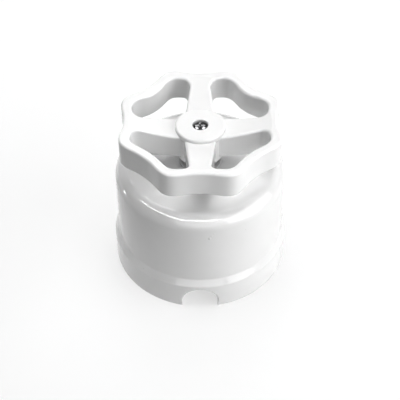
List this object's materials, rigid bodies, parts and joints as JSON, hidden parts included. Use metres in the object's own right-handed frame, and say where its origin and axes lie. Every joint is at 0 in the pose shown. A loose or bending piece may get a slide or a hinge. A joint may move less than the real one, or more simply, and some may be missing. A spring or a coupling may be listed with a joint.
{
  "type": "porcelain rotary switch",
  "caption": "Surface-mounted rotary switch in white glazed porcelain: round body with a flared foot, arched cable notch and a spoked handwheel that turns on top.",
  "frame": {"origin": "middle of the wall face, on the spindle's axis: the bottom centre of the bounding box", "axes": "+Z leaves the wall along the spindle's axis, -Y is the side with the cable notch, +X completes the frame and runs along the line of the two wall-screw holes"},
  "size_m": [0.07, 0.07, 0.0675],
  "materials": {
    "glazed_porcelain": "white gloss glaze",
    "bare_porcelain": "unglazed, matt",
    "nickelled_brass": "nickel plated, bright",
    "chromed_steel": "chrome plated steel",
    "steel": "zinc plated, satin",
    "brass": "machined",
    "bronze": "rolled phosphor bronze sheet",
    "phenolic": "moulded phenolic resin",
    "nylon": "natural nylon"
  },
  "bodies": {
    "switch_body": {"cover": "glazed_porcelain", "base_plate": "bare_porcelain", "bearing_bridge": "steel", "bridge_screw_front": "steel", "bridge_screw_back": "steel", "bridge_nut_front": "steel", "bridge_nut_back": "steel", "detent_spring": "bronze", "threaded_bush": "nickelled_brass", "bush_nut": "nickelled_brass", "cover_washer": "nylon", "ring_nut": "nickelled_brass", "thrust_washer": "brass", "contact_finger_1": "bronze", "terminal_block_1": "brass", "terminal_screw_1": "steel", "contact_screw_1": "steel", "contact_finger_2": "bronze", "terminal_block_2": "brass", "terminal_screw_2": "steel", "contact_screw_2": "steel", "contact_finger_3": "bronze", "terminal_block_3": "brass", "terminal_screw_3": "steel", "contact_screw_3": "steel", "contact_finger_4": "bronze", "terminal_block_4": "brass", "terminal_screw_4": "steel", "contact_screw_4": "steel"},
    "knob": {"handwheel": "glazed_porcelain", "spindle": "steel", "contact_carrier": "phenolic", "contact_blade": "bronze", "retaining_ring": "steel", "knob_lock_washer": "chromed_steel", "knob_screw": "chromed_steel"}
  },
  "joints": [
    {"name": "knob_turn", "type": "hinge", "parent": "switch_body", "child": "knob", "pos_m": [0, 0, 0], "axis": [0, 0, 1], "continuous": true}
  ]
}
